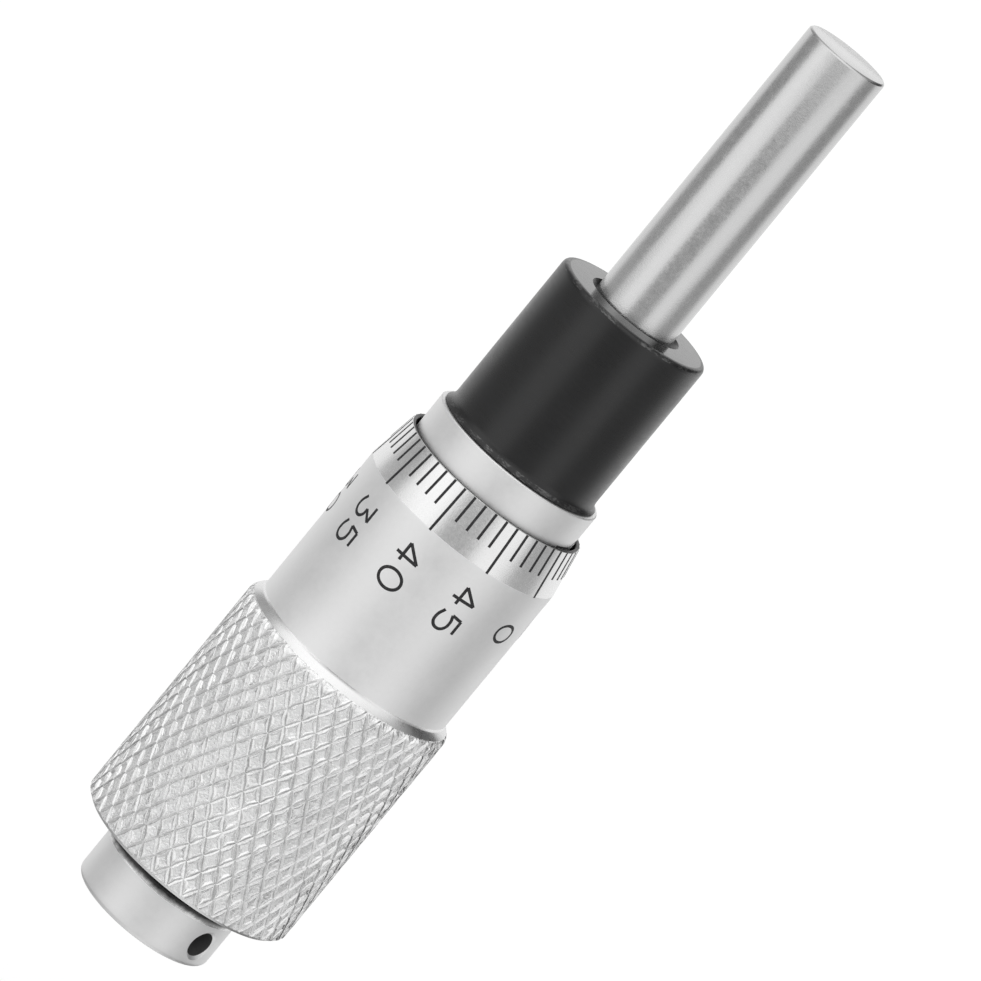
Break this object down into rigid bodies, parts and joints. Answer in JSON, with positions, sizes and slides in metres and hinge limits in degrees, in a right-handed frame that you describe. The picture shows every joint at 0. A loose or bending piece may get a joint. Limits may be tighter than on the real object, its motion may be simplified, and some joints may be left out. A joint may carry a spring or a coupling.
{
  "type": "micrometer head",
  "caption": "Screw gauge head: ground measuring spindle, round clamping stem, graduated sleeve and turning thimble with a bevelled scale and a diamond-knurled grip.",
  "frame": {"origin": "on the axis in the shoulder plane, where the front face of the sleeve seats against the holder", "axes": "+Z along the spindle axis towards the measuring face; -Y is the side of the thimble scale that faces the picture's viewer"},
  "size_m": [0.0134, 0.0134, 0.0608],
  "materials": {
    "black_oxide": "black oxide, semi-gloss",
    "satin_chrome": "satin chrome",
    "ground_steel": "fine ground",
    "nut_steel": "turned",
    "polished_steel": "polished"
  },
  "bodies": {
    "stem": {"stem": "black_oxide", "sleeve": "satin_chrome", "adjusting_nut": "nut_steel"},
    "spindle": {"spindle": "ground_steel"},
    "thimble": {"thimble": "satin_chrome", "thimble_cap": "polished_steel"}
  },
  "joints": [
    {"name": "spindle_travel", "type": "slide", "parent": "stem", "child": "spindle", "axis": [0, 0, 1], "range_m": [-0.013, 0]},
    {"name": "thimble_turn", "type": "hinge", "parent": "spindle", "child": "thimble", "pos_m": [0, 0, 0], "axis": [0, 0, 1], "range_deg": [-9360, 0]}
  ],
  "couplings": [
    {"joint": "thimble_turn", "follows": "spindle_travel", "rad_per_m": 12566}
  ]
}
